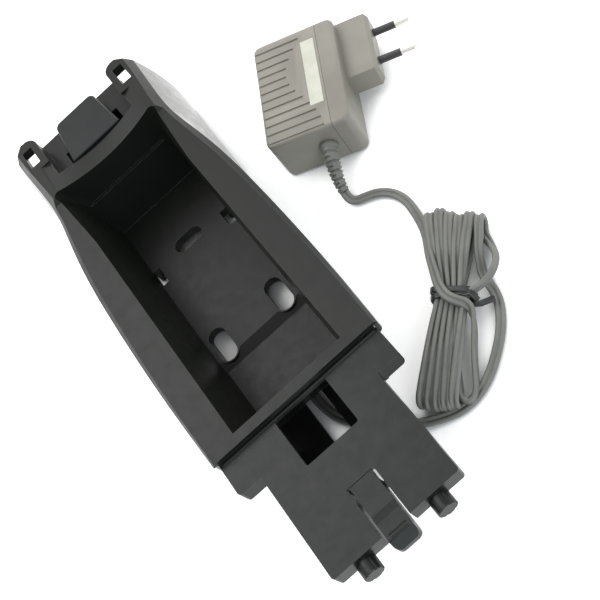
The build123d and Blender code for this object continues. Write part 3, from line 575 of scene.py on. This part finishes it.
def hank_route():
    """All the hank's turns: up each strand on top, and back below to the next one."""
    route = list(LOWER_LOOP)
    for number in range(STRANDS - 2, -1, -1):
        top, waist, bottom = strand_ends(number)
        if number < STRANDS - 2:
            route += half_turn(bottom, BOTTOM_WAY, True)
            route.append(at(lerp(bottom, waist, 0.35), UPPER, 22))
            route.append(at(lerp(bottom, waist, 0.7), UPPER - 0.6, 50))
        route.append(at(waist, WAIST_UPPER, 82))
        route.append(at(lerp(waist, top, 0.33), UPPER - 0.5, 48))
        route.append(at(lerp(waist, top, 0.66), UPPER + 0.2, 20))
        route += half_turn(top, TOP_WAY, False)
        after = number - 1 if number else STRANDS - 2
        _, next_waist, next_bottom = strand_ends(after)
        low_waist = lerp(waist, next_waist, 0.5 if number else 0.4)
        route.append(at(lerp(top, low_waist, 0.45), LOWER + 0.2, 25))
        route.append(at(lerp(top, low_waist, 0.8), LOWER + 0.7, 55))
        route.append(at(low_waist, WAIST_LOWER, 82))
        route.append(at(lerp(low_waist, next_bottom, 0.35), LOWER + 0.6, 50))
        route.append(at(lerp(low_waist, next_bottom, 0.7), LOWER, 20))
    top, waist, _ = strand_ends(STRANDS - 1)
    _, _, bottom = strand_ends(STRANDS - 2)
    route += half_turn(bottom, BOTTOM_WAY, True)
    route.append(at(lerp(bottom, waist, 0.4), UPPER - 0.2, 30))
    route.append(at(lerp(bottom, waist, 0.75), UPPER - 0.8, 60))
    route.append(at(waist, WAIST_UPPER + 0.3, 82))
    route += SIDE_LOOP
    route += half_turn(top, TOP_WAY, True)
    route += [
        (104.6, -46.6, 9.4, 20),
        (99.4, -51.6, 7.4, 30),
        (95.8, -56.4, 4.2, 20),
    ]
    return route


def whole_route():
    """The lead from the adapter's relief to the dock's gland."""
    route = [(*point, 0) for point in LEAD[:-1]]
    route += [(*LEAD[-1], 15)]
    route += OVER_THE_EDGE + hank_route()
    route += [(*point, 0) for point in FEED]
    return route


def sample_route(route):
    """Points and rolls along the smooth curve that the route's points control."""
    curve = bpy.data.curves.new("route", "CURVE")
    curve.dimensions = "3D"
    spline = curve.splines.new("NURBS")
    spline.points.add(len(route) - 1)
    for point, control in zip(spline.points, route):
        point.co = (*metres(control[:3]), 1.0)
    spline.order_u = 3
    spline.use_endpoint_u = True
    spline.resolution_u = 8
    holder = bpy.data.objects.new("route", curve)
    bpy.context.scene.collection.objects.link(holder)
    line = bpy.data.meshes.new_from_object(holder)
    points = [vertex.co.copy() for vertex in line.vertices]
    bpy.data.objects.remove(holder)
    last = len(route) - 1
    rolls = []
    for number in range(len(points)):
        place = number / (len(points) - 1) * last
        before = min(int(place), last - 1)
        share = place - before
        rolls.append(route[before][3] * (1 - share) + route[before + 1][3] * share)
    return points, rolls


def twin_section(width, thickness, steps=14):
    """The outline of a flat twin lead: two round lobes joined by a thin web."""
    radius = thickness / 2
    centre = width / 2 - radius
    outline = []
    for side in (1, -1):
        for step in range(steps):
            turn = math.radians(-148 + 296 * step / (steps - 1))
            x = centre + radius * math.cos(turn)
            y = radius * math.sin(turn)
            outline.append((side * x, side * y))
    return outline


def swept(name, points, rolls, outline, material):
    """A tube of any section along points, kept level except for its roll."""
    steep, settling = 0.25, 0.35       # below steep it can't be levelled; how fast it levels
    mesh = bpy.data.meshes.new(name)
    vertices, faces = [], []
    count = len(outline)
    side = None
    for number, point in enumerate(points):
        before = points[max(number - 1, 0)]
        after = points[min(number + 1, len(points) - 1)]
        way = (after - before).normalized()
        level = Vector((0, 0, 1)).cross(way)
        if side is None:
            side = level.normalized()
        side = (side - way * side.dot(way)).normalized()
        if level.length > steep:
            level.normalize()
            if level.dot(side) < 0:
                level = -level
            side = side.lerp(level, settling).normalized()
            side = (side - way * side.dot(way)).normalized()
        up = way.cross(side)
        turn = Matrix.Rotation(math.radians(rolls[number]), 3, way)
        across, upward = turn @ side, turn @ up
        for x, y in outline:
            vertices.append(point + (across * x + upward * y) * MM)
    for ring in range(len(points) - 1):
        for step in range(count):
            a = ring * count + step
            b = ring * count + (step + 1) % count
            faces.append((a, b, b + count, a + count))
    faces.append(tuple(range(count))[::-1])
    faces.append(tuple(range((len(points) - 1) * count, len(points) * count)))
    mesh.from_pydata(vertices, [], faces)
    mesh.update()
    smooth(mesh, 40)
    return link(name, mesh, material)


def add_lead():
    """The flat twin lead, from the relief through the hank to the gland."""
    points, rolls = sample_route(whole_route())
    lead = swept("lead", points, rolls, twin_section(LEAD_WIDTH, LEAD_THICKNESS), lead_grey)
    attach(lead, "root")
    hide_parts("cord_lead", "cord_hank", "cord_feed")
    return lead, points


add_camera()
lead, lead_points = add_lead()


# ---- strain relief at the adapter -------------------------------------------------------
RELIEF = [(84.95, 45.86, 14.5), (80.33, 36.99, 14.5), (76.46, 32.70, 7.13), (74.9, 25.3, 4.5)]
RELIEF_GROOVES = 9
RELIEF_WIDE, RELIEF_TAPER = 4.6, 1.9      # radius at the case, and how much it loses
GROOVE_DEPTH = 0.85


def bezier(points, share):
    """A point on the curve of four control points."""
    a, b, c, d = (Vector(point) for point in points)
    rest = 1 - share
    return a * rest**3 + b * 3 * rest**2 * share + c * 3 * rest * share**2 + d * share**3


def relief_radius(share, turn):
    """The tapered sleeve's radius: full grooves, with shorter ones between them."""
    radius = RELIEF_WIDE - RELIEF_TAPER * share
    if share < 0.09:
        return radius + 0.5 * math.sin(math.pi * share / 0.09) ** 0.5
    if share > 0.94:
        return radius - 6.0 * (share - 0.94)
    place = (share - 0.13) / 0.8 * RELIEF_GROOVES
    number, part = int(max(place, 0)), place % 1.0
    if place < 0 or number >= RELIEF_GROOVES:
        return radius
    open_here = number % 2 == 0 or abs(math.cos(turn + math.radians(40))) > 0.62
    depth = GROOVE_DEPTH if open_here else 0.0
    return radius - depth * max(0.0, 1 - (abs(part - 0.5) / 0.24) ** 4)


def add_relief():
    """The ribbed rubber sleeve that the lead leaves the adapter through."""
    rings, steps = 150, 48
    vertices, faces = [], []
    for ring in range(rings):
        share = ring / (rings - 1)
        point = bezier(RELIEF, share)
        way = (bezier(RELIEF, min(share + 0.01, 1)) - bezier(RELIEF, max(share - 0.01, 0)))
        way.normalize()
        side = Vector((0, 0, 1)).cross(way).normalized()
        up = way.cross(side)
        for step in range(steps):
            turn = 2 * math.pi * step / steps
            radius = relief_radius(share, turn)
            vertices.append(
                (point + (side * math.cos(turn) + up * math.sin(turn)) * radius) * MM)
    for ring in range(rings - 1):
        for step in range(steps):
            a, b = ring * steps + step, ring * steps + (step + 1) % steps
            faces.append((a, b, b + steps, a + steps))
    faces.append(tuple(range(steps))[::-1])
    faces.append(tuple(range((rings - 1) * steps, rings * steps)))
    mesh = bpy.data.meshes.new("relief")
    mesh.from_pydata(vertices, [], faces)
    mesh.update()
    smooth(mesh, 50)
    relief = link("relief", mesh, relief_grey)
    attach(relief, "root")
    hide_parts("cord_relief")
    return relief


relief = add_relief()

# ---- strap round the hank ------------------------------------------------------------


def rounded_loop(half_width, low, high, radius, steps=6):
    """A closed rounded rectangle, as (across, height) pairs."""
    corners = [
        (half_width - radius, high - radius, 0),
        (-half_width + radius, high - radius, 90),
        (-half_width + radius, low + radius, 180),
        (half_width - radius, low + radius, 270),
    ]
    loop = []
    for x, z, start in corners:
        for step in range(steps):
            turn = math.radians(start + 90 * step / (steps - 1))
            loop.append((x + radius * math.cos(turn), z + radius * math.sin(turn)))
    return loop


def add_tie():
    """A coated wire tie: two wraps at the waist and one flat tail."""
    centre = Vector((77.3, -59.9, 0))
    across = Vector((0.755, -0.656, 0))
    along = Vector((0.656, 0.755, 0))
    section = [(1.45, 0.15), (1.0, 0.5), (0.45, 0.32), (0, 0.55), (-0.45, 0.32),
               (-1.0, 0.5), (-1.45, 0.15), (-1.2, -0.35), (1.2, -0.35)]
    vertices, faces = [], []

    def wrap(half_width, low, high, shift, slant):
        """One turn of the tie round the waist, moved and slanted along the hank."""
        loop = rounded_loop(half_width, low, high, 3.4)
        start = len(vertices)
        count = len(section)
        for number, (s, z) in enumerate(loop):
            before = loop[number - 1]
            after = loop[(number + 1) % len(loop)]
            out = Vector((after[1] - before[1], -(after[0] - before[0]))).normalized()
            middle = centre + across * s + along * (shift + slant * s) + Vector((0, 0, z))
            for u, v in section:
                outward = across * out.x + Vector((0, 0, out.y))
                vertices.append((middle + along * u + outward * v) * MM)
        for ring in range(len(loop)):
            for step in range(count):
                a = start + ring * count + step
                b = start + ring * count + (step + 1) % count
                onward = count if ring < len(loop) - 1 else -ring * count
                faces.append((a, b, b + onward, a + onward))

    wrap(9.6, 0.5, 11.0, -0.9, 0.05)
    wrap(9.9, 0.45, 11.4, 1.3, -0.10)
    mesh = bpy.data.meshes.new("tie")
    mesh.from_pydata(vertices, [], faces)
    mesh.update()
    smooth(mesh, 50)
    tie = link("tie", mesh, tie_black)
    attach(tie, "root")
    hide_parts("cord_tie")
    tail_points = [metres(p) for p in (
        (80.4, -64.4, 11.0), (83.2, -66.6, 11.2), (83.6, -70.4, 9.4), (81.2, -71.0, 7.6),
        (83.6, -71.9, 6.6), (87.6, -73.4, 6.2), (89.6, -74.2, 6.0))]
    tail = swept("tie_tail", tail_points, [0] * len(tail_points), section, tie_black)
    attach(tail, "root")
    return tie, tail


tie, tie_tail = add_tie()

# ---- moulded parts with rounded edges ---------------------------------------------------
housing = rounded_copy("front_housing", "housing_front", charcoal, 0.7, edge=charcoal_edge_highlight)
shell = rounded_copy("rear_shell", "housing_rear", charcoal_shell_painted_sheen, 0.5)
tongue = rounded_copy("tongue_plate", "tongue", charcoal_tongue, 0.6, sharp_at=FINGER_SLITS,
                      edge=charcoal_edge_highlight)
finger = rounded_copy("latch_finger", "latch", charcoal_tongue, 0.35, sharp_at=FINGER_SLITS)
case = rounded_copy("adapter_case", "adapter_body", adapter_grey, 0.35)
cover = rounded_copy("adapter_cover", "adapter_front", adapter_grey, 0.35)

# ---- materials of the CAD parts that show as they are --------------------------------------
finishes = {
    "contact_head": slate,
    "compartment_cover": charcoal,
    "contact_pivot_pin": steel,
    "contact_spring": steel,
    "contact_blades": brass,
    "contact_tabs": brass,
    "contact_wires": wire_red,
    "terminal_board": laminate,
    "board_terminals": steel,
    "inner_lead": lead_grey,
    "cable_gland": relief_grey,
    "lead_clips": charcoal,
    "housing_screws": steel,
    "tongue_screws": steel,
    "cover_screws": steel,
    "board_screws": steel,
    "plug_pins": nickel,
    "pin_sleeves": sleeve_black,
    "adapter_label": label,
    "adapter_board": laminate,
    "transformer_core": ferrite,
    "transformer_winding": copper,
    "adapter_capacitors": can_sleeve,
    "adapter_wires": wire_red,
}
for node, material in finishes.items():
    mesh = nodes[node].data
    mesh.materials.clear()
    mesh.materials.append(material)

add_world()
add_floor()
add_area_light("key", (-0.45, 0.55, 1.2), (0, 0, 0.03), 1.0, 11)
add_area_light("back", (0.6, 1.2, 0.6), (0.05, 0.1, 0.05), 0.8, 6)
add_area_light("side", (1.2, 0.1, 0.7), (0, 0, 0.05), 0.8, 4)
add_area_light("front", (0.15, -1.1, 0.55), (0, 0.08, 0.05), 0.7, 6, (0.8, 0.91, 1.0))
bpy.context.scene.view_settings.view_transform = "Standard"
